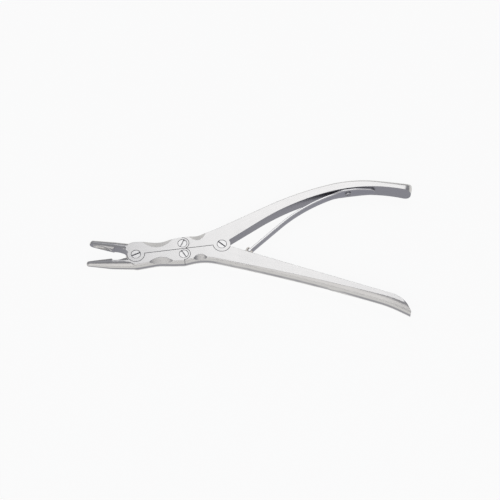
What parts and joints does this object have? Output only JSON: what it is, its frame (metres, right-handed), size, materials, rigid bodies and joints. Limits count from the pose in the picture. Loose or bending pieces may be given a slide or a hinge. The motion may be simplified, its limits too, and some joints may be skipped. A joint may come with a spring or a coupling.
{
  "type": "bone rongeur",
  "caption": "Double-action bone rongeur with curved cupped jaws, slotted pivot screws and a leaf spring between the handles.",
  "frame": {"origin": "on the handle pivot's axis, at the flat back face of the joint", "axes": "+X from the jaw pivot towards the handle pivot and the grips, +Y towards the arched handle, +Z out of the face with the screw slots"},
  "size_m": [0.1852, 0.0903, 0.009],
  "materials": {
    "lever_steel": "satin, fine grain along each lever",
    "screw_steel": "turned and satin",
    "spring_steel": "smooth satin"
  },
  "bodies": {
    "lower_handle": {"lower_handle": "lever_steel", "handle_pivot_screw": "screw_steel", "lower_link_screw": "screw_steel", "spring_socket": "screw_steel"},
    "upper_handle": {"upper_handle": "lever_steel", "upper_link_screw": "screw_steel", "leaf_spring": "spring_steel", "spring_screw": "screw_steel"},
    "lower_jaw": {"lower_jaw": "lever_steel", "jaw_pivot_screw": "screw_steel"},
    "upper_jaw": {"upper_jaw": "lever_steel"}
  },
  "joints": [
    {"name": "handle_pivot", "type": "hinge", "parent": "lower_handle", "child": "upper_handle", "pos_m": [0, 0, 0.0031], "axis": [0, 0, -1], "range_deg": [0, 29.9], "stiffness_Nm_per_rad": 1.2, "springref_deg": -9.74, "deforming": ["leaf_spring"]},
    {"name": "lower_link", "type": "hinge", "parent": "lower_handle", "child": "lower_jaw", "pos_m": [-0.0213, -0.00345, 0.0031], "axis": [0, 0, -1], "range_deg": [0, 27.2]},
    {"name": "jaw_pivot", "type": "hinge", "parent": "lower_jaw", "child": "upper_jaw", "pos_m": [-0.04714, 0, 0.0031], "axis": [0, 0, 1], "range_deg": [0, 24.5]}
  ],
  "couplings": [
    {"joint": "lower_link", "follows": "handle_pivot", "ratio": 0.9085},
    {"joint": "jaw_pivot", "follows": "handle_pivot", "ratio": 0.817}
  ]
}
